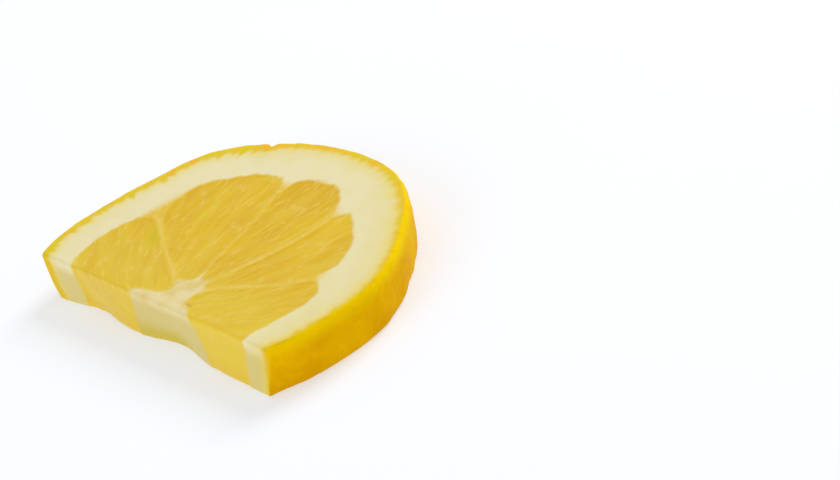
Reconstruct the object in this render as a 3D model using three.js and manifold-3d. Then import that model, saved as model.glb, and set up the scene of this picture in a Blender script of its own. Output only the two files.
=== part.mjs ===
// Lemon slice: a half-round piece cut across the fruit, lying on its underside.
// One solid: rind, pulp, membranes and core are grown together.
// X runs along the straight cut, Y from the cut towards the top of the peel arc, Z up.
// The origin is under the middle of the bounding box. Millimetres.

import * as THREE from 'three';
import { mergeVertices } from 'three/addons/utils/BufferGeometryUtils.js';
import Module from 'manifold-3d';

const thickness = 6.3;
const pocketDepth = 0.35;
const rimSteps = 84;
const cutSteps = 36;

// Upper edge of the peel, from the right-hand end of the cut to the left-hand end.
const rimPoints = [
  [27.5, -16.4],
  [29.0, -12.9],
  [29.8, -7.5],
  [29.3, -1.7],
  [26.7, 3.1],
  [22.1, 8.1],
  [16.3, 12.9],
  [9.6, 16.1],
  [2.6, 17.3],
  [-4.4, 17.2],
  [-10.9, 16.1],
  [-17.1, 14.0],
  [-22.5, 11.3],
  [-26.3, 7.5],
  [-28.1, 2.1],
  [-29.4, -3.5],
  [-29.9, -9.1],
  [-29.5, -13.5],
  [-28.2, -16.7],
];

// The peel leans in towards the smaller underside and swells a little between the faces.
// Each pair is a height and how far the outline draws in there.
const sideProfile = [
  [0.0, 1.3],
  [0.3, 1.0],
  [1.6, 0.6],
  [3.2, 0.2],
  [4.8, 0.0],
  [5.9, 0.05],
  [thickness, 0.3],
];

// The knife left the cut face slightly hollow low down: two dips in its lower edge.
const cutLowerEdge = -17.4;
const cutUpperEdge = -16.4;
const cutUpperSlope = 0.012;
const cutDips = [
  { at: -17.0, depth: 0.95, width: 5.5 },
  { at: 3.2, depth: 1.35, width: 6.5 },
];

// Juice segments, left to right round the core. The outer two run out through the cut face.
const segments = [
  [
    [0.9, -13.2], [-0.6, -12.4], [-4.0, -11.0], [-8.0, -9.3], [-13.0, -7.0], [-17.2, -5.0],
    [-19.4, -4.8], [-21.0, -5.9], [-22.0, -8.4], [-22.3, -11.2], [-21.7, -14.2],
    [-20.0, -16.8], [-15.0, -21.0], [-7.0, -21.0], [-5.6, -17.4], [-4.8, -15.7], [-2.6, -15.2],
    [-0.2, -14.6],
  ],
  [
    [1.3, -11.5], [-0.2, -11.5], [-2.4, -10.6], [-6.0, -9.3], [-10.0, -7.5], [-14.0, -5.5],
    [-17.0, -3.6], [-18.6, -1.4], [-19.1, 1.2], [-18.2, 3.8], [-15.8, 5.7], [-12.6, 7.7],
    [-9.8, 8.8], [-7.4, 8.9], [-5.9, 7.9], [-4.9, 6.2], [-3.5, 3.9], [-1.6, 0.1], [-0.4, -3.2],
    [0.9, -7.0], [2.3, -10.0], [2.2, -10.9],
  ],
  [
    [3.2, -10.3], [2.7, -8.9], [1.6, -7.2], [0.3, -3.4], [-1.0, 0.1], [-2.9, 3.9], [-4.0, 6.4],
    [-4.1, 8.6], [-2.4, 10.1], [0.4, 10.7], [3.2, 10.6], [5.8, 9.5], [8.0, 7.5], [8.7, 5.4],
    [8.6, 2.4], [7.9, -1.8], [6.2, -6.2], [4.4, -10.2],
  ],
  [
    [5.6, -11.3], [5.4, -10.3], [6.7, -7.4], [8.4, -3.4], [9.5, 0.6], [9.7, 4.2], [10.0, 6.6],
    [11.2, 7.4], [13.4, 6.4], [16.4, 4.4], [18.8, 2.2], [20.1, -0.2], [20.0, -2.2],
    [18.6, -3.9], [16.6, -5.8], [13.6, -7.5], [10.0, -9.1], [7.2, -10.8],
  ],
  [
    [5.9, -13.2], [7.0, -11.8], [9.3, -10.4], [13.2, -8.6], [17.0, -6.6], [19.0, -4.9],
    [20.8, -4.0], [22.6, -5.0], [23.7, -7.4], [23.3, -10.2], [22.7, -12.8], [22.2, -15.2],
    [21.8, -18.0], [21.4, -21.0], [12.0, -21.0], [9.9, -17.2], [8.4, -15.6], [6.6, -14.5],
  ],
];

function blend(a, b, t) {
  return a + (b - a) * t;
}

// How far the lower edge of the cut face draws in at x.
function cutDip(x) {
  return cutDips.reduce((sum, dip) => {
    const u = (x - dip.at) / dip.width;
    return sum + dip.depth * Math.exp(-u * u);
  }, 0);
}

// Y of the cut face at x and height z.
function cutY(x, z) {
  const lower = cutLowerEdge + cutDip(x);
  const upper = cutUpperEdge + cutUpperSlope * x;
  return blend(lower, upper, THREE.MathUtils.smoothstep(z, 0, thickness));
}

// The peel's outline with its inward directions, evenly stepped along its length.
function rimOutline() {
  const curve = new THREE.CatmullRomCurve3(
    rimPoints.map(([x, y]) => new THREE.Vector3(x, y, 0)),
    false,
    'centripetal',
  );
  const outline = [];
  for (let i = 0; i <= rimSteps; i++) {
    const u = i / rimSteps;
    const at = curve.getPointAt(u);
    const along = curve.getTangentAt(u);
    outline.push({ at, inward: new THREE.Vector2(-along.y, along.x) });
  }
  return outline;
}

// One closed ring of the slice at height z: round the peel, then back along the cut.
function ringAt(rim, z, inset) {
  const ring = rim.map(({ at, inward }) => {
    const x = at.x + inward.x * inset;
    const y = at.y + inward.y * inset;
    return new THREE.Vector2(x, Math.max(y, cutY(x, z)));
  });
  const right = ring[0];
  const left = ring[ring.length - 1];
  right.y = cutY(right.x, z);
  left.y = cutY(left.x, z);
  for (let i = 1; i < cutSteps; i++) {
    const x = blend(left.x, right.x, i / cutSteps);
    ring.push(new THREE.Vector2(x, cutY(x, z)));
  }
  return ring;
}

// Stacks the rings, joins neighbours with triangles and closes the flat faces.
function sliceBody() {
  const rim = rimOutline();
  const rings = sideProfile.map(([z, inset]) => ringAt(rim, z, inset));
  const count = rings[0].length;
  const positions = [];
  rings.forEach((ring, level) => {
    ring.forEach((point) => positions.push(point.x, point.y, sideProfile[level][0]));
  });
  const index = [];
  for (let level = 0; level < rings.length - 1; level++) {
    for (let i = 0; i < count; i++) {
      const a = level * count + i;
      const b = level * count + ((i + 1) % count);
      index.push(a, b, b + count, a, b + count, a + count);
    }
  }
  const top = (rings.length - 1) * count;
  for (const [a, b, c] of THREE.ShapeUtils.triangulateShape(rings[0], [])) {
    index.push(a, c, b);
  }
  for (const [a, b, c] of THREE.ShapeUtils.triangulateShape(rings[rings.length - 1], [])) {
    index.push(top + a, top + b, top + c);
  }
  const geometry = new THREE.BufferGeometry();
  geometry.setAttribute('position', new THREE.Float32BufferAttribute(positions, 3));
  geometry.setIndex(index);
  return geometry;
}

// The room above a juice segment, where the pulp sits lower than its membranes.
function segmentPocket(points) {
  const curve = new THREE.CatmullRomCurve3(
    points.map(([x, y]) => new THREE.Vector3(x, y, 0)),
    true,
    'centripetal',
  );
  const outline = curve.getSpacedPoints(52).slice(0, -1);
  const shape = new THREE.Shape(outline.map((p) => new THREE.Vector2(p.x, p.y)));
  const geometry = new THREE.ExtrudeGeometry(shape, { depth: 2, bevelEnabled: false });
  geometry.translate(0, 0, thickness - pocketDepth);
  return geometry;
}

function toSolid(wasm, geometry) {
  const bare = geometry.index ? geometry.toNonIndexed() : geometry.clone();
  bare.deleteAttribute('normal');
  bare.deleteAttribute('uv');
  const merged = mergeVertices(bare, 1e-4);
  return new wasm.Manifold(new wasm.Mesh({
    numProp: 3,
    vertProperties: new Float32Array(merged.attributes.position.array),
    triVerts: new Uint32Array(merged.index.array),
  }));
}

function toGeometry(solid) {
  const mesh = solid.getMesh();
  const geometry = new THREE.BufferGeometry();
  geometry.setAttribute('position', new THREE.BufferAttribute(mesh.vertProperties, 3));
  geometry.setIndex(new THREE.BufferAttribute(mesh.triVerts, 1));
  geometry.computeVertexNormals();
  return geometry;
}

const wasm = await Module();
wasm.setup();

const slice = segments.reduce(
  (solid, points) => solid.subtract(toSolid(wasm, segmentPocket(points))),
  toSolid(wasm, sliceBody()),
);

const lemonSlice = new THREE.Mesh(
  toGeometry(slice),
  new THREE.MeshStandardMaterial({ color: 0xe2c34a, roughness: 0.45, metalness: 0 }),
);
lemonSlice.name = 'lemon_slice';

const part = new THREE.Group();
part.add(lemonSlice);

export default part;
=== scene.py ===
import bpy
import math
import numpy as np
from mathutils import Matrix, Vector
from mathutils.geometry import delaunay_2d_cdt


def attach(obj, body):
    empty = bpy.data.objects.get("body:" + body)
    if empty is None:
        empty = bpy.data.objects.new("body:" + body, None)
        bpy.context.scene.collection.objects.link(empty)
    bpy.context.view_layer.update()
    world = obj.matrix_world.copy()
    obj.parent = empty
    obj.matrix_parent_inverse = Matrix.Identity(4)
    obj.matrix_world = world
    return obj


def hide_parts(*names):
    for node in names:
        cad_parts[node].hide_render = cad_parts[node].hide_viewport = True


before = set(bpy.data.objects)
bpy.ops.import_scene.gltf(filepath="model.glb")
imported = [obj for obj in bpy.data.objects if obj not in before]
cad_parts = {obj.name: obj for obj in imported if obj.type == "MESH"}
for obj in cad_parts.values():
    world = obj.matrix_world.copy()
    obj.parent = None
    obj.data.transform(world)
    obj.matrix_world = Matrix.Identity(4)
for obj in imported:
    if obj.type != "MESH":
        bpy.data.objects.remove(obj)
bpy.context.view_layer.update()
mm = 0.001


# shared helpers

def hexColour(code):
    # sRGB hex to linear RGBA
    parts = [int(code[i:i + 2], 16) / 255 for i in (1, 3, 5)]
    linear = [c / 12.92 if c <= 0.04045 else ((c + 0.055) / 1.055) ** 2.4 for c in parts]
    return (*linear, 1.0)


def add(tree, kind, links=(), **settings):
    # one node with its settings; links fills its inputs in order, or by name where it is a dictionary,
    # each with a value, a hex colour, a node or another node's output
    node = tree.nodes.new(kind)
    for name, value in settings.items():
        setattr(node, name, value)
    inputs = [socket for socket in node.inputs if socket.enabled]
    named = links.items() if isinstance(links, dict) else enumerate(links)
    for key, value in named:
        socket = inputs[key] if isinstance(key, int) else next(s for s in inputs if s.name == key)
        if isinstance(value, bpy.types.Node):
            value = next(s for s in value.outputs if s.enabled)
        if isinstance(value, bpy.types.NodeSocket):
            tree.links.new(value, socket)
        else:
            socket.default_value = hexColour(value) if str(value).startswith("#") else value
    return node


def smoothThrough(points, closed, perSpan=14):
    # centripetal curve through given points, as the frame's own outline is drawn
    points = np.array(points, float)
    if closed:
        points = np.vstack([points[-1], points, points[:2]])
    else:
        points = np.vstack([2 * points[0] - points[1], points, 2 * points[-1] - points[-2]])
    out = []
    for a, b, c, d in zip(points, points[1:], points[2:], points[3:]):
        t1 = np.linalg.norm(b - a) ** 0.5
        t2 = t1 + np.linalg.norm(c - b) ** 0.5
        t3 = t2 + np.linalg.norm(d - c) ** 0.5
        for t in np.linspace(t1, t2, perSpan, endpoint=False):
            ab = a + (b - a) * t / t1
            bc = b + (c - b) * (t - t1) / (t2 - t1)
            cd = c + (d - c) * (t - t2) / (t3 - t2)
            abc = ab + (bc - ab) * t / t2
            bcd = bc + (cd - bc) * (t - t1) / (t3 - t1)
            out.append(abc + (bcd - abc) * (t - t1) / (t2 - t1))
    if not closed:
        out.append(points[-2])
    return np.array(out)


def evenSteps(line, count):
    # the same line with count points, evenly spaced along it
    run = np.concatenate([[0], np.cumsum(np.linalg.norm(np.diff(line, axis=0), axis=1))])
    at = np.linspace(0, run[-1], count)
    return np.stack([np.interp(at, run, line[:, i]) for i in range(line.shape[1])], axis=1)


def nearestOnLine(points, line, closed=False):
    # distance to a line, and how far along it the nearest point lies
    ends = np.vstack([line, line[:1]]) if closed else line
    best = np.full(len(points), 1e9)
    along = np.zeros(len(points))
    run = 0.0
    for a, b in zip(ends, ends[1:]):
        ab = b - a
        length = math.hypot(*ab)
        t = np.clip(((points - a) @ ab) / (length * length), 0, 1)
        gap = points - a - t[:, None] * ab
        d = np.hypot(gap[:, 0], gap[:, 1])
        near = d < best
        best[near] = d[near]
        along[near] = run + t[near] * length
        run += length
    return best, along


def insideOutline(points, line):
    # even-odd test against a closed outline
    inside = np.zeros(len(points), bool)
    x, y = points[:, 0], points[:, 1]
    for (ax, ay), (bx, by) in zip(line, np.roll(line, -1, axis=0)):
        if ay == by:
            continue
        crosses = (ay > y) != (by > y)
        inside ^= crosses & (x < ax + (y - ay) * (bx - ax) / (by - ay))
    return inside


def smoothStep(x, low, high):
    t = np.clip((x - low) / (high - low), 0, 1)
    return t * t * (3 - 2 * t)


# the slice: what a user would change, in millimetres

sliceShape = {
    "thickness": 6.3,
    "meshStep": 0.25,  # edge length of the mesh on the upper face
    "underStep": 0.42,  # and on the underside
    "rimPoints": 900,  # along the peel before it is trimmed at the cut
    "segmentPoints": 110,  # round each segment
    "levels": 30,  # rings from the underside up, closer together towards both edges
    "core": (3.2, -12.4),  # where the membranes meet
    "rim": [
        (26.9, -18.4), (27.5, -16.4), (29.0, -12.9), (29.8, -7.5), (29.3, -1.7), (26.7, 3.1),
        (22.1, 8.1), (16.3, 12.9), (9.6, 16.1), (2.6, 17.3), (-4.4, 17.2), (-10.9, 16.1),
        (-17.1, 14.0), (-22.5, 11.3), (-26.3, 7.5), (-28.1, 2.1), (-29.4, -3.5), (-29.9, -9.1),
        (-29.5, -13.5), (-28.2, -16.7), (-27.2, -18.8),
    ],
    "side": [  # height, and how far the peel draws in there
        (0.0, 1.3), (0.3, 1.0), (1.6, 0.6), (3.2, 0.2), (4.8, 0.0), (5.9, 0.05), (6.3, 0.3),
    ],
    "cutLowerEdge": -17.4,
    "cutUpperEdge": -16.4,
    "cutUpperSlope": 0.012,
    "peelRun": 100.0,  # about the length of the peel line, for spacing its points
    "cutRun": 57.0,  # and of the cut
    "cutDips": [(-17.0, 0.95, 5.5), (3.2, 1.35, 6.5)],  # place, depth, width
    "topEdge": 0.55,  # how far the upper edge of the cut is rounded
    "bottomEdge": 0.25,
    "rimNick": (-16.9, 14.2, 0.75, 0.5),  # x, y, depth, width of the small notch in the peel
}

segments = [
    [
        (0.9, -13.2), (-0.6, -12.4), (-4.0, -11.0), (-8.0, -9.3), (-13.0, -7.0), (-17.2, -5.0),
        (-19.4, -4.8), (-21.0, -5.9), (-22.0, -8.4), (-22.3, -11.2), (-21.7, -14.2),
        (-20.0, -16.8), (-15.0, -21.0), (-7.0, -21.0), (-5.6, -17.4), (-4.8, -15.7),
        (-2.6, -15.2), (-0.2, -14.6),
    ],
    [
        (1.3, -11.5), (-0.2, -11.5), (-2.4, -10.6), (-6.0, -9.3), (-10.0, -7.5), (-14.0, -5.5),
        (-17.0, -3.6), (-18.6, -1.4), (-19.1, 1.2), (-18.2, 3.8), (-15.8, 5.7), (-12.6, 7.7),
        (-9.8, 8.8), (-7.4, 8.9), (-5.9, 7.9), (-4.9, 6.2), (-3.5, 3.9), (-1.6, 0.1),
        (-0.4, -3.2), (0.9, -7.0), (2.3, -10.0), (2.2, -10.9),
    ],
    [
        (3.2, -10.3), (2.7, -8.9), (1.6, -7.2), (0.3, -3.4), (-1.0, 0.1), (-2.9, 3.9),
        (-4.0, 6.4), (-4.1, 8.6), (-2.4, 10.1), (0.4, 10.7), (3.2, 10.6), (5.8, 9.5), (8.0, 7.5),
        (8.7, 5.4), (8.6, 2.4), (7.9, -1.8), (6.2, -6.2), (4.4, -10.2),
    ],
    [
        (5.6, -11.3), (5.4, -10.3), (6.7, -7.4), (8.4, -3.4), (9.5, 0.6), (9.7, 4.2),
        (10.0, 6.6), (11.2, 7.4), (13.4, 6.4), (16.4, 4.4), (18.8, 2.2), (20.1, -0.2),
        (20.0, -2.2), (18.6, -3.9), (16.6, -5.8), (13.6, -7.5), (10.0, -9.1), (7.2, -10.8),
    ],
    [
        (5.9, -13.2), (7.0, -11.8), (9.3, -10.4), (13.2, -8.6), (17.0, -6.6), (19.0, -4.9),
        (20.8, -4.0), (22.6, -5.0), (23.7, -7.4), (23.3, -10.2), (22.7, -12.8), (22.2, -15.2),
        (21.8, -18.0), (21.4, -21.0), (12.0, -21.0), (9.9, -17.2), (8.4, -15.6), (6.6, -14.5),
    ],
]


def cutFaceY(x, z):
    # the knife's path: straight above, with two dips in its lower edge
    s = sliceShape
    lower = s["cutLowerEdge"] + sum(d * np.exp(-((x - at) / w) ** 2) for at, d, w in s["cutDips"])
    upper = s["cutUpperEdge"] + s["cutUpperSlope"] * x
    t = z / s["thickness"]
    t = t * t * (3 - 2 * t)
    soften = 0.0
    for edge, near in ((s["bottomEdge"], z), (s["topEdge"], s["thickness"] - z)):
        soften += edge - math.sqrt(edge ** 2 - max(0.0, edge - near) ** 2)
    return lower + (upper - lower) * t + soften


def sideInset(z):
    # how far the peel draws in at a height
    fine = smoothThrough(sliceShape["side"], False)
    return np.interp(z, fine[:, 0], fine[:, 1])


def sliceRings():
    # outlines of the slice from its underside up: round the peel, then back along the cut
    s = sliceShape
    step = s["meshStep"]
    rim = evenSteps(smoothThrough(s["rim"], False), s["rimPoints"])
    along = np.gradient(rim, axis=0)
    along /= np.linalg.norm(along, axis=1)[:, None]
    inward = np.stack([-along[:, 1], along[:, 0]], axis=1)
    nickX, nickY, nickDepth, nickWidth = s["rimNick"]
    toNick = np.hypot(rim[:, 0] - nickX, rim[:, 1] - nickY)
    rimCount = int(s["peelRun"] / step)
    cutCount = int(s["cutRun"] / step)
    rings = []
    for turn in np.linspace(0, math.pi, s["levels"] + 1):
        z = s["thickness"] * (0.5 - 0.5 * math.cos(turn))
        nick = nickDepth * np.exp(-(toNick / nickWidth) ** 2) * smoothStep(z, 2.5, 6.0)
        outline = rim + inward * (sideInset(z) + nick)[:, None]
        over = outline[:, 1] - cutFaceY(outline[:, 0], z)
        inside = np.flatnonzero(over > 0)
        ends = []
        for kept, left in ((inside[0], inside[0] - 1), (inside[-1], inside[-1] + 1)):
            part = over[kept] / (over[kept] - over[left])
            ends.append(outline[kept] + (outline[left] - outline[kept]) * part)
        peelLine = evenSteps(np.vstack([ends[0], outline[inside], ends[1]]), rimCount)
        x = np.linspace(peelLine[-1, 0], peelLine[0, 0], cutCount + 1)[1:-1]
        cutLine = np.stack([x, cutFaceY(x, z)], axis=1)
        rings.append((z, np.vstack([peelLine, cutLine])))
    return rings, rimCount


def fillFace(ring, step):
    # fills a flat outline with even triangles; new inside points come after the outline's own
    low, high = ring.min(axis=0), ring.max(axis=0)
    rows = np.arange(low[1], high[1], step * math.sqrt(3) / 2)
    grid = []
    for i, y in enumerate(rows):
        x = np.arange(low[0] + (i % 2) * step / 2, high[0], step)
        grid.append(np.stack([x, np.full(len(x), y)], axis=1))
    grid = np.vstack(grid)
    grid = grid[insideOutline(grid, ring[::3])]
    gap, _ = nearestOnLine(grid, ring[::2], closed=True)
    grid = grid[gap > step * 0.62]  # keeps them clear of the outline's own points
    points = [Vector(point) for point in np.vstack([ring, grid])]
    border = [(i, (i + 1) % len(ring)) for i in range(len(ring))]
    _, _, faces, sources, _, _ = delaunay_2d_cdt(points, border, [], 1, 1e-7)
    same = [ids[0] for ids in sources]
    return grid, [tuple(same[i] for i in face) for face in faces]


def sliceMesh():
    rings, rimCount = sliceRings()
    around = len(rings[0][1])
    points = [np.column_stack([ring, np.full(around, z)]) for z, ring in rings]
    faces = []
    place = []  # which surface a face lies on
    for level in range(len(rings) - 1):
        for i in range(around):
            a = level * around + i
            b = level * around + (i + 1) % around
            faces.append((a, b, b + around, a + around))
            place.append("peel" if i < rimCount - 1 else "cut")
    count = around * len(rings)
    for level, name, step in ((0, "under", "underStep"), (len(rings) - 1, "top", "meshStep")):
        z, ring = rings[level]
        inner, triangles = fillFace(ring, sliceShape[step])
        points.append(np.column_stack([inner, np.full(len(inner), z)]))
        for triangle in triangles:
            a, b, c = (level * around + i if i < around else count + i - around for i in triangle)
            faces.append((a, b, c) if name == "top" else (a, c, b))
            place.append(name)
        count += len(inner)
    points = np.vstack(points)
    # the relief of the peel fades out at its edges, where it meets the flesh
    atEdge = 0.35
    onPeel = np.zeros(len(points))
    for level in range(len(rings)):
        first = level * around
        onPeel[first:first + rimCount] = atEdge if level in (0, len(rings) - 1) else 1.0
        onPeel[[first, first + rimCount - 1]] = atEdge
    return points, faces, np.array(place), onPeel, rings, rimCount


def addAttribute(mesh, name, values, kind="FLOAT", domain="POINT"):
    layer = mesh.attributes.new(name, kind, domain)
    field = "vector" if kind == "FLOAT_VECTOR" else "value"
    plain = np.ascontiguousarray(values, dtype=bool if kind == "BOOLEAN" else float)
    layer.data.foreach_set(field, plain.ravel())


sacs = {
    "width": 1.5,  # a juice sac's width, 16 mm out from the core
    "length": 6.0,
    "fanRadius": 16.0,
    "tornScale": (1.9, 2.4, 0.6),  # torn walls against whole sacs: narrower, shorter
    "apart": 31.0,  # sacs between one segment's and the next one's, so that no two look alike
}

growth = {
    # where the membrane beside the core leans as it goes down, how wide, how steep
    "coreLean": (9.0, 5.0, 0.58),
    # a patch of unripe pulp: x, y, half length, half width, turn
    "greenPatch": (-13.9, -7.0, 2.2, 1.2, -0.5),
    # a small tear by the core, the same five values
    "crease": (7.1, -14.65, 0.8, 0.2, -0.12),
}


def spotWeight(flat, spot):
    # a soft long spot: 1 at its middle, fading out
    x, y, halfLength, halfWidth, turn = spot
    dx, dy = flat[:, 0] - x, flat[:, 1] - y
    along = dx * math.cos(turn) + dy * math.sin(turn)
    across = dy * math.cos(turn) - dx * math.sin(turn)
    return np.exp(-(along / halfLength) ** 2 - (across / halfWidth) ** 2)


def sliceMaps(mesh, points, onPeel, rings, rimCount):
    # distances and directions that the relief and the colours follow
    flat = points[:, :2]
    widest = max(rings, key=lambda r: np.ptp(r[1][:, 0]))[1]
    rimDepth, rimRun = nearestOnLine(flat, widest[:rimCount:3])
    rimDepth = np.maximum(rimDepth - sideInset(points[:, 2]), 0)

    # pulp segments: depth inside the nearest one, and which one it is
    leanAt, leanWidth, leanSlope = growth["coreLean"]
    below = sliceShape["thickness"] - points[:, 2]
    nearCut = np.exp(-((flat[:, 0] - leanAt) / leanWidth) ** 2) * smoothStep(flat[:, 1], -11, -16)
    grownAt = flat - np.column_stack([below * leanSlope * nearCut, np.zeros(len(flat))])
    pulpDepth = np.full(len(points), -np.inf)
    segmentId = np.zeros(len(points))
    for i, outline in enumerate(segments):
        curve = smoothThrough(outline, True)
        line = evenSteps(np.vstack([curve, curve[:1]]), sliceShape["segmentPoints"])[:-1]
        gap, _ = nearestOnLine(grownAt, line, closed=True)
        depth = np.where(insideOutline(grownAt, line), gap, -gap)
        nearer = depth > pulpDepth
        pulpDepth[nearer] = depth[nearer]
        segmentId[nearer] = i

    # juice sacs: their own space, one unit to a sac, with the segments far apart in it
    coreX, coreY = sliceShape["core"]
    dx, dy = flat[:, 0] - coreX, flat[:, 1] - coreY
    fromCore = np.hypot(dx, dy)
    turn = np.arctan2(dx, dy)
    fan = turn * np.sqrt(np.maximum(fromCore, 0.5) * sacs["fanRadius"])
    sacSpace = np.stack([
        fan / sacs["width"] + segmentId * sacs["apart"],
        fromCore / sacs["length"],
        points[:, 2] / sacs["width"],
    ], axis=1)
    onTop = smoothStep(points[:, 2], 4.0, 6.0)
    maps = {
        "rimDepth": rimDepth, "rimRun": rimRun, "pulpDepth": pulpDepth,
        "fromCore": fromCore, "onPeel": onPeel,
        "greenPatch": spotWeight(flat, growth["greenPatch"]) * onTop,
        "crease": spotWeight(flat, growth["crease"]) * onTop,
    }
    for name, values in maps.items():
        addAttribute(mesh, name, values)
    addAttribute(mesh, "sacSpace", sacSpace, "FLOAT_VECTOR")


uvSheet = {  # where each surface lies on the flat layout, mm from its corner
    "side": 98.0,  # of the whole layout
    "top": (31.0, 19.0),
    "under": (31.0, 56.0),
    "cut": (31.0, 75.0),
    "peel": (1.0, 83.0),
    "restOfPeel": (1.0, 90.5),
    "peelPart": 50.0,  # the peel's strip is cut in two here so that it fits
}


def layOutUv(mesh, points, place):
    # both faces, the peel and the cut face, laid out flat at one scale
    def readAll(items, name, kind):
        values = np.zeros(len(items), kind)
        items.foreach_get(name, values)
        return values

    corner = readAll(mesh.loops, "vertex_index", int)
    sides = readAll(mesh.polygons, "loop_total", int)
    run = readAll(mesh.attributes["rimRun"].data, "value", float)[corner]
    face = np.repeat(np.arange(len(sides)), sides)
    faceRun = np.zeros(len(sides))
    np.maximum.at(faceRun, face, run)
    where = place[face]
    beyond = (where == "peel") & (faceRun[face] > uvSheet["peelPart"])
    where = np.where(beyond, "restOfPeel", where)
    x, y, z = points[corner].T
    flat = {
        "top": (x, y), "under": (x, y), "cut": (x, z),
        "peel": (run, z), "restOfPeel": (run - uvSheet["peelPart"], z),
    }
    uv = np.zeros((len(corner), 2))
    for name, spread in flat.items():
        here = where == name
        uv[here] = (np.stack(spread, axis=1) + uvSheet[name])[here]
    layer = mesh.uv_layers.new(name="OFBake")
    layer.data.foreach_set("uv", (uv / uvSheet["side"]).ravel())


# relief grown by Geometry Nodes on the base mesh

relief = {
    "Pulp Sink": 0.1,  # mm that the pulp lies under its membranes
    "Sac Swell": 0.12,  # mm that a juice sac swells
    "Streak Rise": 0.05,  # torn sac walls that stand up
    "Pith Unevenness": 0.08,
    "Crease Depth": 0.14,
    "Gland Spacing": 1.1,  # oil glands in the peel
    "Gland Depth": 0.035,
    "Peel Knobs": 0.45,
    "Core Fibres": 0.07,
}


smooth = {"interpolation_type": "SMOOTHSTEP"}  # for a Map Range node that eases in and out


def sacCells(tree, placeMm, sacSpace):
    # juice sacs: long cells that fan out from the core; the relief and the colours share them
    warp = add(tree, "ShaderNodeTexNoise", {"Vector": placeMm, "Scale": 0.3, "Detail": 2.0})
    bend = add(tree, "ShaderNodeVectorMath", (warp.outputs["Color"], (0.5, 0.5, 0.5)),
               operation="SUBTRACT")
    bent = add(tree, "ShaderNodeVectorMath", (bend, (1.0, 0.4, 1.0), sacSpace), operation="MULTIPLY_ADD")
    finer = add(tree, "ShaderNodeVectorMath", (bent, sacs["tornScale"]), operation="MULTIPLY")
    soft, walls, streaks = (
        add(tree, "ShaderNodeTexVoronoi", {"Vector": space, "Scale": 1.0, "Randomness": 0.95},
            feature=feature)
        for space, feature in ((bent, "SMOOTH_F1"), (bent, "DISTANCE_TO_EDGE"), (finer, "F1"))
    )
    return bent, soft, walls, streaks


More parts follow.
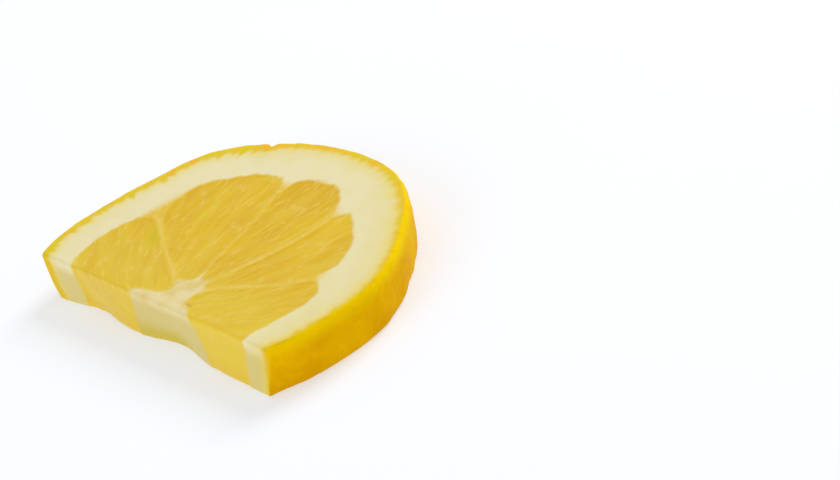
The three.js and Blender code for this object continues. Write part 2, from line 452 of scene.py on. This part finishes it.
def reliefTree(peelMaterial, fleshMaterial):
    tree = bpy.data.node_groups.new("lemonRelief", "GeometryNodeTree")
    tree.interface.new_socket("Geometry", in_out="INPUT", socket_type="NodeSocketGeometry")
    tree.interface.new_socket("Geometry", in_out="OUTPUT", socket_type="NodeSocketGeometry")
    for name in relief:
        tree.interface.new_socket(name, in_out="INPUT", socket_type="NodeSocketFloat")
    source = add(tree, "NodeGroupInput").outputs
    place = add(tree, "GeometryNodeInputPosition")
    placeMm = add(tree, "ShaderNodeVectorMath", (place, 1 / mm), operation="SCALE")
    pulpDepth, fromCore, crease, onPeel = (
        add(tree, "GeometryNodeInputNamedAttribute", (name,), data_type="FLOAT")
        for name in ("pulpDepth", "fromCore", "crease", "onPeel")
    )
    sacSpace = add(tree, "GeometryNodeInputNamedAttribute", ("sacSpace",), data_type="FLOAT_VECTOR")
    peelFace = add(tree, "GeometryNodeInputNamedAttribute", ("peelFace",), data_type="BOOLEAN")
    _, soft, _, streaks = sacCells(tree, placeMm, sacSpace)

    # pulp: every sac a little swollen, a few torn walls standing up
    crown = add(tree, "ShaderNodeMath", (0.5, soft.outputs["Distance"]), operation="SUBTRACT")
    swell = add(tree, "ShaderNodeMath", (crown, source["Sac Swell"]), operation="MULTIPLY")
    torn = add(tree, "ShaderNodeMapRange",
               (streaks.outputs["Distance"], 0.25, 0.08, 0.0, source["Streak Rise"]), **smooth)
    swollen = add(tree, "ShaderNodeMath", (swell, torn), operation="ADD")
    pulpLift = add(tree, "ShaderNodeMath", (swollen, source["Pulp Sink"]), operation="SUBTRACT")
    inPulp = add(tree, "ShaderNodeMapRange", (pulpDepth, -0.1, 0.5), **smooth)
    pulpRise = add(tree, "ShaderNodeMath", (pulpLift, inPulp), operation="MULTIPLY")

    # pith and membranes: soft, slightly uneven
    cloud = add(tree, "ShaderNodeTexNoise", {"Vector": placeMm, "Scale": 0.55, "Detail": 4.0})
    hollow = add(tree, "ShaderNodeMath", (cloud, 0.7), operation="SUBTRACT")
    pithRise = add(tree, "ShaderNodeMath", (hollow, source["Pith Unevenness"]), operation="MULTIPLY")

    # core: torn into short fibres
    tufts = add(tree, "ShaderNodeTexNoise", {
        "Vector": placeMm, "Scale": 1.5, "Detail": 3.0, "Distortion": 0.6,
    })
    fibre = add(tree, "ShaderNodeMath", (tufts, 0.6), operation="SUBTRACT")
    nearCore = add(tree, "ShaderNodeMapRange", (fromCore, 4.5, 1.5, 0.0, source["Core Fibres"]), **smooth)
    fibreRise = add(tree, "ShaderNodeMath", (fibre, nearCore), operation="MULTIPLY")
    creased = add(tree, "ShaderNodeMath", (crease, source["Crease Depth"]), operation="MULTIPLY")
    fleshRise = add(tree, "ShaderNodeMath", (pulpRise, pithRise), operation="ADD")
    fleshRise = add(tree, "ShaderNodeMath", (fleshRise, fibreRise), operation="ADD")
    fleshRise = add(tree, "ShaderNodeMath", (fleshRise, creased), operation="SUBTRACT")
    fleshRise = add(tree, "ShaderNodeMath", (fleshRise, 0.0), operation="MINIMUM")

    # peel: a pit over each oil gland, on low knobs
    glandScale = add(tree, "ShaderNodeMath", (1.0, source["Gland Spacing"]), operation="DIVIDE")
    glandPlace = add(tree, "ShaderNodeVectorMath", (placeMm, glandScale), operation="SCALE")
    glands = add(tree, "ShaderNodeTexVoronoi", {"Vector": glandPlace, "Scale": 1.0, "Randomness": 0.85},
                 feature="SMOOTH_F1")
    pit = add(tree, "ShaderNodeMapRange",
              (glands.outputs["Distance"], 0.55, 0.05, 0.0, source["Gland Depth"]), **smooth)
    bumps = add(tree, "ShaderNodeTexNoise", {"Vector": placeMm, "Scale": 0.4, "Detail": 3.0})
    knob = add(tree, "ShaderNodeMath", (bumps, 0.5), operation="SUBTRACT")
    knobRise = add(tree, "ShaderNodeMath", (knob, source["Peel Knobs"]), operation="MULTIPLY")
    peelRise = add(tree, "ShaderNodeMath", (knobRise, pit), operation="SUBTRACT")

    # the points move out or in by that, but never below the table
    rise = add(tree, "ShaderNodeMix", (onPeel, fleshRise, peelRise), data_type="FLOAT")
    riseMetres = add(tree, "ShaderNodeMath", (rise, mm), operation="MULTIPLY")
    normal = add(tree, "GeometryNodeInputNormal")
    shift = add(tree, "ShaderNodeVectorMath", (normal, riseMetres), operation="SCALE")
    shifted = add(tree, "ShaderNodeVectorMath", (place, shift), operation="ADD")
    aboveTable = add(tree, "ShaderNodeVectorMath", (shifted, (-1.0, -1.0, 0.0)), operation="MAXIMUM")
    moved = add(tree, "GeometryNodeSetPosition", {"Geometry": source["Geometry"], "Position": aboveTable})
    flesh = add(tree, "GeometryNodeSetMaterial", {"Geometry": moved, "Material": fleshMaterial})
    peel = add(tree, "GeometryNodeSetMaterial", {
        "Geometry": flesh, "Selection": peelFace, "Material": peelMaterial,
    })
    real = add(tree, "GeometryNodeRealizeInstances", {"Geometry": peel})
    add(tree, "NodeGroupOutput", {"Geometry": real})
    return tree


# materials

def newMaterial(name):
    material = bpy.data.materials.new(name)
    material.use_nodes = True
    tree = material.node_tree
    tree.nodes.clear()
    return material, tree


def layColours(tree, colour, layers):
    # lays colours over each other; each layer says what it follows, where it starts and where it is full,
    # how much it then covers, and its colour
    for follows, start, full, most, over in layers:
        amount = add(tree, "ShaderNodeMapRange", (follows, start, full, 0.0, most), **smooth)
        colour = add(tree, "ShaderNodeMix", (amount, colour, over), data_type="RGBA")
    return colour


peelLook = {
    "base": "#e8b300",
    "deep": "#dea200",
    "edge": "#f2cc00",  # painted light: the peel side drawn brighter towards its top, which faces up; also in random flecks
    "gland": "#cf9700",
    "roughness": (0.4, 0.56),
}


def waxyLemonPeel():
    # Lemon zest under its own wax: deep even yellow with a satin sheen, a little darker in the pits
    # over the oil glands, and brighter just below the cut as painted light for the top of the side, which
    # faces up.
    look = peelLook
    material, tree = newMaterial("waxyLemonPeel")
    place = add(tree, "ShaderNodeTexCoord").outputs["Object"]
    placeMm = add(tree, "ShaderNodeVectorMath", (place, 1 / mm), operation="SCALE")
    height = add(tree, "ShaderNodeSeparateXYZ", (placeMm,)).outputs["Z"]
    broad = add(tree, "ShaderNodeTexNoise", {"Vector": placeMm, "Scale": 0.13, "Detail": 3.0})
    fine = add(tree, "ShaderNodeTexNoise", {"Vector": placeMm, "Scale": 0.9, "Detail": 3.0})
    grain = add(tree, "ShaderNodeTexNoise", {"Vector": placeMm, "Scale": 2.6, "Detail": 4.0})
    glands = add(tree, "ShaderNodeTexVoronoi", {
        "Vector": placeMm, "Scale": 1 / relief["Gland Spacing"], "Randomness": 0.85,
    }, feature="SMOOTH_F1")
    uneven = add(tree, "ShaderNodeMath", (broad, 0.5), operation="SUBTRACT")
    unevenHeight = add(tree, "ShaderNodeMath", (uneven, 1.2, height), operation="MULTIPLY_ADD")
    colour = layColours(tree, look["base"], [
        (broad, 0.35, 0.65, 1.0, look["deep"]),
        # painted light: the peel side drawn brighter towards its top, which faces up
        (unevenHeight, 3.9, 6.4, 1.0, look["edge"]),
        (fine, 0.45, 0.8, 0.25, look["edge"]),
        (glands.outputs["Distance"], 0.32, 0.05, 0.2, look["gland"]),
    ])
    roughness = add(tree, "ShaderNodeMapRange", (fine, 0.3, 0.7, *look["roughness"]))
    bump = add(tree, "ShaderNodeBump", {"Strength": 0.4, "Distance": 0.04 * mm, "Height": grain})
    skin = add(tree, "ShaderNodeBsdfPrincipled", {
        "Base Color": colour, "Roughness": roughness, "Normal": bump,
        "IOR": 1.2, "Specular IOR Level": 0.04,
        "Subsurface Weight": 0.2, "Subsurface Radius": (1.0, 0.55, 0.05), "Subsurface Scale": 0.8 * mm,
    })
    add(tree, "ShaderNodeOutputMaterial", {"Surface": skin})
    return material


fleshLook = {
    "pith": "#ebe1b4",
    "pithWarm": "#e8d98f",
    "shadedPithCut": "#d7c46e",  # on the cut face: painted shade, drawn darker further down it
    "membrane": "#eccd66",
    "core": "#e9d9a2",
    "coreDeep": "#e2cb7c",
    # painted shade: the core drawn darker down the cut face
    "coreCut": "#d9c77e",
    "coreLow": "#cfb93a",  # the core's wet lower end
    "pulp": "#e3bb16",
    "pulpDeep": "#deb012",
    "pulpPale": "#e5c838",
    "litPulpCut": "#eacc36",  # painted light: the pulp on the cut face drawn brighter towards the right
    "greenPulp": "#dabd06",
    # pale streaks in the pulp: part torn sac wall, part painted highlight
    "sacWall": "#ecd06c",
    "tornWallAndGlint": "#f1d36a",
    "zest": "#e6c426",
    "zestOil": "#efb62a",
    "zestGreen": "#dcc914",
    "zestCut": "#e3b80c",  # at both ends of the cut face
    "zestPale": "#ead45c",
    "crease": "#c8a23c",
    "roughness": (0.6, 0.32),  # dry pith, wet pulp
}

zestBand = {
    "width": 0.5,  # mm, at the right-hand end; it widens to the left and narrows at the far end
    "glandSpacing": 1.9,  # mm along the rim
}


def wetLemonFlesh():
    # A fresh knife cut: golden juice sacs that let light in, with pale streaks here and there, part torn
    # wall and part painted highlight, dry cream pith round them and a thin band of zest with its oil glands
    # cut open.
    look = fleshLook
    material, tree = newMaterial("wetLemonFlesh")
    place = add(tree, "ShaderNodeTexCoord").outputs["Object"]
    placeMm = add(tree, "ShaderNodeVectorMath", (place, 1 / mm), operation="SCALE")
    at = add(tree, "ShaderNodeSeparateXYZ", (placeMm,)).outputs
    rimDepth, rimRun, pulpDepth, fromCore, greenPatch, crease = (
        add(tree, "ShaderNodeAttribute", attribute_name=name).outputs["Fac"]
        for name in ("rimDepth", "rimRun", "pulpDepth", "fromCore", "greenPatch", "crease")
    )
    sacSpace = add(tree, "ShaderNodeAttribute", attribute_name="sacSpace").outputs["Vector"]
    bent, _, walls, streaks = sacCells(tree, placeMm, sacSpace)
    wallGap = walls.outputs["Distance"]

    # pulp: broad changes of tone, sacs hardly told apart
    fibreSpace = add(tree, "ShaderNodeVectorMath", (bent, (0.75, 0.45, 0.75)), operation="MULTIPLY")
    fibres = add(tree, "ShaderNodeTexNoise", {"Vector": fibreSpace, "Scale": 1.0, "Detail": 2.0})
    broad = add(tree, "ShaderNodeTexNoise", {"Vector": placeMm, "Scale": 0.1, "Detail": 3.0})
    onCut = add(tree, "ShaderNodeMapRange", (at["Z"], 6.3, 6.0), **smooth)
    fibreTone = add(tree, "ShaderNodeMath", (onCut, -0.35, 0.55), operation="MULTIPLY_ADD")
    # painted light: the pulp on the cut face drawn brighter towards the right
    litCut = add(tree, "ShaderNodeMapRange", (at["X"], 2.0, 14.0, 0.0, 0.7), **smooth)
    pulp = layColours(tree, look["pulp"], [
        (broad, 0.4, 0.62, 1.0, look["pulpDeep"]),
        (at["Y"], -4.0, -14.0, 0.65, look["pulpPale"]),
        (fibres, 0.5, 0.7, fibreTone, look["pulpPale"]),
        (fibres, 0.5, 0.32, fibreTone, look["pulpDeep"]),
        (wallGap, 0.2, 0.0, 0.13, look["sacWall"]),
        (at["Z"], 6.3, 6.0, litCut, look["litPulpCut"]),
        (at["Z"], 2.6, 0.2, 0.6, look["pulp"]),
    ])

    # the odd pale streak, part torn sac wall and part painted highlight: short ones anywhere, and long ones
    # along a sac
    chance = add(tree, "ShaderNodeSeparateColor", (streaks.outputs["Color"],)).outputs["Red"]
    chosen = add(tree, "ShaderNodeMapRange", (chance, 0.4, 0.65, 0.0, 0.62), **smooth)
    short = add(tree, "ShaderNodeMapRange", (streaks.outputs["Distance"], 0.34, 0.04, 0.0, chosen), **smooth)
    patches = add(tree, "ShaderNodeTexNoise", {"Vector": placeMm, "Scale": 0.45})
    lined = add(tree, "ShaderNodeMapRange", (patches, 0.5, 0.62, 0.0, 0.38), **smooth)
    long = add(tree, "ShaderNodeMapRange", (wallGap, 0.1, 0.0, 0.0, lined), **smooth)
    either = add(tree, "ShaderNodeMath", (short, long), operation="MAXIMUM")
    torn = add(tree, "ShaderNodeMapRange", (at["Z"], 3.8, 6.2, 0.0, either), **smooth)
    pulp = add(tree, "ShaderNodeMix", (torn, pulp, look["tornWallAndGlint"]), data_type="RGBA")
    unripe = add(tree, "ShaderNodeMath", (greenPatch, 1.4), operation="MULTIPLY")
    unripe = add(tree, "ShaderNodeMath", (unripe, 1.0), operation="MINIMUM")
    pulp = add(tree, "ShaderNodeMix", (unripe, pulp, look["greenPulp"]), data_type="RGBA")

    # pith and membranes: warmer in clouds, by the rim and to the right
    cloud = add(tree, "ShaderNodeTexNoise", {
        "Vector": placeMm, "Scale": 0.3, "Detail": 3.0, "Roughness": 0.5,
    })
    speckle = add(tree, "ShaderNodeTexNoise", {
        "Vector": placeMm, "Scale": 0.9, "Detail": 2.0, "Distortion": 0.8,
    })
    warm = 0.0
    for warms in (
        (cloud, 0.4, 0.75, 0.0, 0.35), (rimDepth, 5.5, 1.5, 0.0, 0.3), (at["X"], 0.0, 22.0, 0.0, 0.2),
    ):
        part = add(tree, "ShaderNodeMapRange", warms, **smooth)
        warm = add(tree, "ShaderNodeMath", (part, warm), operation="ADD")
    pith = add(tree, "ShaderNodeMix", (warm, look["pith"], look["pithWarm"]), data_type="RGBA")
    # painted shade: the pith drawn darker further down the cut face
    pith = layColours(tree, pith, [(at["Z"], 6.0, 4.0, 0.8, look["shadedPithCut"])])
    thickness = add(tree, "ShaderNodeMapRange", (speckle, 0.42, 0.65, 0.4, 0.9), **smooth)
    membrane = add(tree, "ShaderNodeMix", (thickness, pulp, look["membrane"]), data_type="RGBA")

    # core: a pale star above, a patch drawn darker down the cut face as painted shade, with a wet lower end
    core = layColours(tree, look["coreDeep"], [(cloud, 0.35, 0.6, 1.0, look["core"])])
    # painted shade: the core drawn darker down the cut face
    coreFace = layColours(tree, core, [(at["Z"], 6.2, 4.5, 1.0, look["coreCut"])])
    roughEdge = add(tree, "ShaderNodeMath", (speckle, 1.2, fromCore), operation="MULTIPLY_ADD")
    besideCore = add(tree, "ShaderNodeMapRange", (rimDepth, 9.0, 12.0), **smooth)
    coreCut = add(tree, "ShaderNodeMapRange", (at["Y"], -13.8, -15.0, 0.0, besideCore), **smooth)
    uneven = add(tree, "ShaderNodeMath", (cloud, 0.5), operation="SUBTRACT")
    unevenHeight = add(tree, "ShaderNodeMath", (uneven, 2.0, at["Z"]), operation="MULTIPLY_ADD")
    low = add(tree, "ShaderNodeMapRange", (unevenHeight, 3.2, 0.4, 0.0, 0.85), **smooth)
    lowLeft = add(tree, "ShaderNodeMapRange", (at["X"], 9.0, 3.0, 0.0, low), **smooth)
    lowCore = add(tree, "ShaderNodeMath", (lowLeft, coreCut), operation="MULTIPLY")
    wall = layColours(tree, pith, [(rimDepth, 7.4, 9.6, 1.0, membrane), (roughEdge, 4.4, 2.8, 1.0, core)])
    wall = add(tree, "ShaderNodeMix", (coreCut, wall, coreFace), data_type="RGBA")
    wall = add(tree, "ShaderNodeMix", (lowCore, wall, look["coreLow"]), data_type="RGBA")

    # where pulp ends and pith begins: ragged towards the rim
    tatters = add(tree, "ShaderNodeTexNoise", {"Vector": placeMm, "Scale": 0.7, "Detail": 3.0})
    tatters = add(tree, "ShaderNodeMath", (tatters, 0.5), operation="SUBTRACT")
    byRim = add(tree, "ShaderNodeMapRange", (rimDepth, 9.8, 7.6, 0.0, 1.1), **smooth)
    fleck = add(tree, "ShaderNodeMath", (speckle, 0.5), operation="SUBTRACT")
    pulpEdge = add(tree, "ShaderNodeMath", (tatters, byRim, pulpDepth), operation="MULTIPLY_ADD")
    pulpEdge = add(tree, "ShaderNodeMath", (fleck, 0.35, pulpEdge), operation="MULTIPLY_ADD")
    flesh = layColours(tree, wall, [(pulpEdge, -0.42, 0.3, 1.0, pulp)])
    creased = add(tree, "ShaderNodeMath", (crease, 0.7), operation="MULTIPLY")
    flesh = add(tree, "ShaderNodeMix", (creased, flesh, look["crease"]), data_type="RGBA")

    # zest: a row of glands cut open, each a spot of its own colour, stronger towards the left
    drift = add(tree, "ShaderNodeTexNoise", {"Vector": placeMm, "Scale": 0.3, "Detail": 0.0})
    evenRow = add(tree, "ShaderNodeMath", (rimRun, 1 / zestBand["glandSpacing"]), operation="MULTIPLY")
    row = add(tree, "ShaderNodeMath", (drift, 0.8, evenRow), operation="MULTIPLY_ADD")
    spots, softSpots = (
        add(tree, "ShaderNodeTexVoronoi", {"W": row, "Scale": 1.0, "Randomness": 0.8},
            voronoi_dimensions="1D", feature=feature)
        for feature in ("F1", "SMOOTH_F1")
    )
    gland = add(tree, "ShaderNodeSeparateColor", (softSpots.outputs["Color"],)).outputs
    rightPart = add(tree, "ShaderNodeMapRange", (rimRun, 26.0, 44.0, 0.0, 0.6), **smooth)
    leftPart = add(tree, "ShaderNodeMapRange", (rimRun, 62.0, 76.0, 0.0, 0.4), **smooth)
    spotty = add(tree, "ShaderNodeMath", (rightPart, leftPart), operation="ADD")
    oily = add(tree, "ShaderNodeMath", (spotty, 0.9), operation="MULTIPLY")
    greenish = add(tree, "ShaderNodeMath", (spotty, 0.8), operation="MULTIPLY")
    zest = layColours(tree, look["zest"], [
        (gland["Red"], 0.4, 0.6, oily, look["zestOil"]),
        (gland["Green"], 0.5, 0.7, greenish, look["zestGreen"]),
        (at["Z"], 6.3, 6.0, 0.7, look["zestCut"]),
    ])

    # its width: it widens towards the left, narrows again at that end, and shows wider on the cut face
    width = zestBand["width"]
    for widens in (
        (rimRun, 28.0, 42.0, 0.0, 0.3), (rimRun, 62.0, 76.0, 0.0, 0.5),
        (rimRun, 86.0, 98.0, 0.0, -0.3), (at["Z"], 6.3, 6.0, 0.0, 0.4),
    ):
        part = add(tree, "ShaderNodeMapRange", widens, **smooth)
        width = add(tree, "ShaderNodeMath", (part, width), operation="ADD")

    # its inner edge: every gland reaches in a little, and the edge is uneven besides
    toothed = add(tree, "ShaderNodeMapRange", (rimRun, 60.0, 76.0, 0.3, 0.8), **smooth)
    size = add(tree, "ShaderNodeMath", (gland["Blue"], 0.3), operation="ADD")
    reach = add(tree, "ShaderNodeMapRange", (spots.outputs["Distance"], 0.5, 0.0, 0.0, size), **smooth)
    wobble = add(tree, "ShaderNodeTexNoise", {"Vector": placeMm, "Scale": 0.9, "Detail": 1.0})
    wobble = add(tree, "ShaderNodeMath", (wobble, 0.5), operation="SUBTRACT")
    wobble = add(tree, "ShaderNodeMath", (wobble, 1.5), operation="MULTIPLY")
    tooth = add(tree, "ShaderNodeMath", (wobble, reach), operation="SUBTRACT")
    depthIn = add(tree, "ShaderNodeMath", (rimDepth, width), operation="SUBTRACT")
    depthIn = add(tree, "ShaderNodeMath", (tooth, toothed, depthIn), operation="MULTIPLY_ADD")
    colour = layColours(tree, flesh, [
        (depthIn, 2.0, 0.0, 0.55, look["zestPale"]),
        (depthIn, 0.65, -0.5, 1.0, zest),
    ])

    # wet pulp shines, pith is dry
    wet = add(tree, "ShaderNodeMapRange", (pulpEdge, -0.2, 0.4), **smooth)
    roughness = add(tree, "ShaderNodeMapRange", (wet, 0.0, 1.0, *look["roughness"]))
    grain = add(tree, "ShaderNodeTexNoise", {"Vector": placeMm, "Scale": 1.6, "Detail": 3.0})
    height = add(tree, "ShaderNodeMath", (grain, 0.35), operation="MULTIPLY")
    wetFibres = add(tree, "ShaderNodeMath", (fibres, wet), operation="MULTIPLY")
    height = add(tree, "ShaderNodeMath", (wetFibres, 0.9, height), operation="MULTIPLY_ADD")
    height = add(tree, "ShaderNodeMath", (torn, 0.4, height), operation="MULTIPLY_ADD")
    bump = add(tree, "ShaderNodeBump", {"Strength": 0.5, "Distance": 0.1 * mm, "Height": height})
    cut = add(tree, "ShaderNodeBsdfPrincipled", {
        "Base Color": colour, "Roughness": roughness, "Normal": bump,
        "IOR": 1.38, "Specular IOR Level": 0.16,
        "Subsurface Weight": 0.35, "Subsurface Radius": (1.0, 0.7, 0.2), "Subsurface Scale": 1.5 * mm,
    })
    add(tree, "ShaderNodeOutputMaterial", {"Surface": cut})
    return material


def growSlice():
    points, faces, place, onPeel, rings, rimCount = sliceMesh()
    mesh = bpy.data.meshes.new("sliceBase")
    mesh.from_pydata((points * mm).tolist(), [], faces)
    mesh.polygons.foreach_set("use_smooth", np.ones(len(faces), bool))
    sliceMaps(mesh, points, onPeel, rings, rimCount)
    addAttribute(mesh, "peelFace", place == "peel", "BOOLEAN", "FACE")
    layOutUv(mesh, points, place)
    base = bpy.data.objects.new("sliceBase", mesh)
    bpy.context.scene.collection.objects.link(base)
    tree = reliefTree(waxyLemonPeel(), wetLemonFlesh())
    modifier = base.modifiers.new("relief", "NODES")
    modifier.node_group = tree
    for item in tree.interface.items_tree:
        if item.in_out == "INPUT" and item.name in relief:
            modifier[item.identifier] = relief[item.name]
    evaluated = base.evaluated_get(bpy.context.evaluated_depsgraph_get())
    grown = bpy.data.meshes.new_from_object(evaluated)
    grown.name = "lemonSlice"
    bpy.data.objects.remove(base)
    piece = bpy.data.objects.new("lemonSlice", grown)
    bpy.context.scene.collection.objects.link(piece)
    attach(piece, "root")
    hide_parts("lemon_slice")
    triangles = sum(len(face.vertices) - 2 for face in grown.polygons)
    print("slice grown:", len(grown.vertices), "points,", triangles, "triangles")


# floor, light and camera

studio = {
    "floorReach": 4.0,  # metres each way
    "floorColour": "#c7cad1",
    "floorGlow": 0.415,  # the paper is lit from below as well, so shadows stay pale
    "skyColour": "#ffffff",
    "skyStrength": 0.62,
    "lights": {  # place in metres, power in watts, size in metres
        "key": ((-0.05, 0.6, 0.48), 2.85, 0.4),
        "fill": ((0.2, -0.76, 0.32), 1.8, 0.6),
    },
}


def studioFloor():
    mesh = bpy.data.meshes.new("floor")
    r = studio["floorReach"]
    mesh.from_pydata([(-r, -r, 0), (r, -r, 0), (r, r, 0), (-r, r, 0)], [], [(0, 1, 2, 3)])
    floor = bpy.data.objects.new("floor", mesh)
    bpy.context.scene.collection.objects.link(floor)
    material, tree = newMaterial("paleStudioPaper")
    paper = add(tree, "ShaderNodeBsdfPrincipled", {
        "Base Color": studio["floorColour"], "Roughness": 0.9, "Specular IOR Level": 0.1,
        "Emission Color": (1, 1, 1, 1), "Emission Strength": studio["floorGlow"],
    })
    add(tree, "ShaderNodeOutputMaterial", {"Surface": paper})
    mesh.materials.append(material)


def studioLight():
    world = bpy.data.worlds.new("studio")
    bpy.context.scene.world = world
    world.use_nodes = True
    back = world.node_tree.nodes["Background"]
    back.inputs["Color"].default_value = hexColour(studio["skyColour"])
    back.inputs["Strength"].default_value = studio["skyStrength"]
    for name, (place, power, size) in studio["lights"].items():
        lamp = bpy.data.lights.new(name, "AREA")
        lamp.energy = power
        lamp.size = size
        light = bpy.data.objects.new(name, lamp)
        bpy.context.scene.collection.objects.link(light)
        light.location = place
        light.rotation_euler = (-Vector(place)).to_track_quat("-Z", "Y").to_euler()
    bpy.context.scene.view_settings.view_transform = "Standard"


cameraLook = {
    "azimuth": 65.76,  # round from the cut face towards the right-hand end
    "elevation": 26.0,
    "roll": -23.55,
    "distance": 431.8 * mm,
    "lens": 155.96,
    "aim": (21.08 * mm, 10.11 * mm, 3.14 * mm),
}


def placeCamera():
    look = cameraLook
    az, el, roll = (math.radians(look[k]) for k in ("azimuth", "elevation", "roll"))
    back = Vector((math.sin(az) * math.cos(el), -math.cos(az) * math.cos(el), math.sin(el)))
    side = Vector((math.cos(az), math.sin(az), 0))
    up = back.cross(side)
    right = side * math.cos(roll) + up * math.sin(roll)
    top = up * math.cos(roll) - side * math.sin(roll)
    data = bpy.data.cameras.new("camera")
    data.lens = look["lens"]
    data.clip_start = 0.01
    camera = bpy.data.objects.new("camera", data)
    bpy.context.scene.collection.objects.link(camera)
    turn = Matrix((right, top, back)).transposed().to_4x4()
    camera.matrix_world = Matrix.Translation(Vector(look["aim"]) + back * look["distance"]) @ turn
    bpy.context.scene.camera = camera


placeCamera()
studioFloor()
studioLight()
print("studio set")
growSlice()
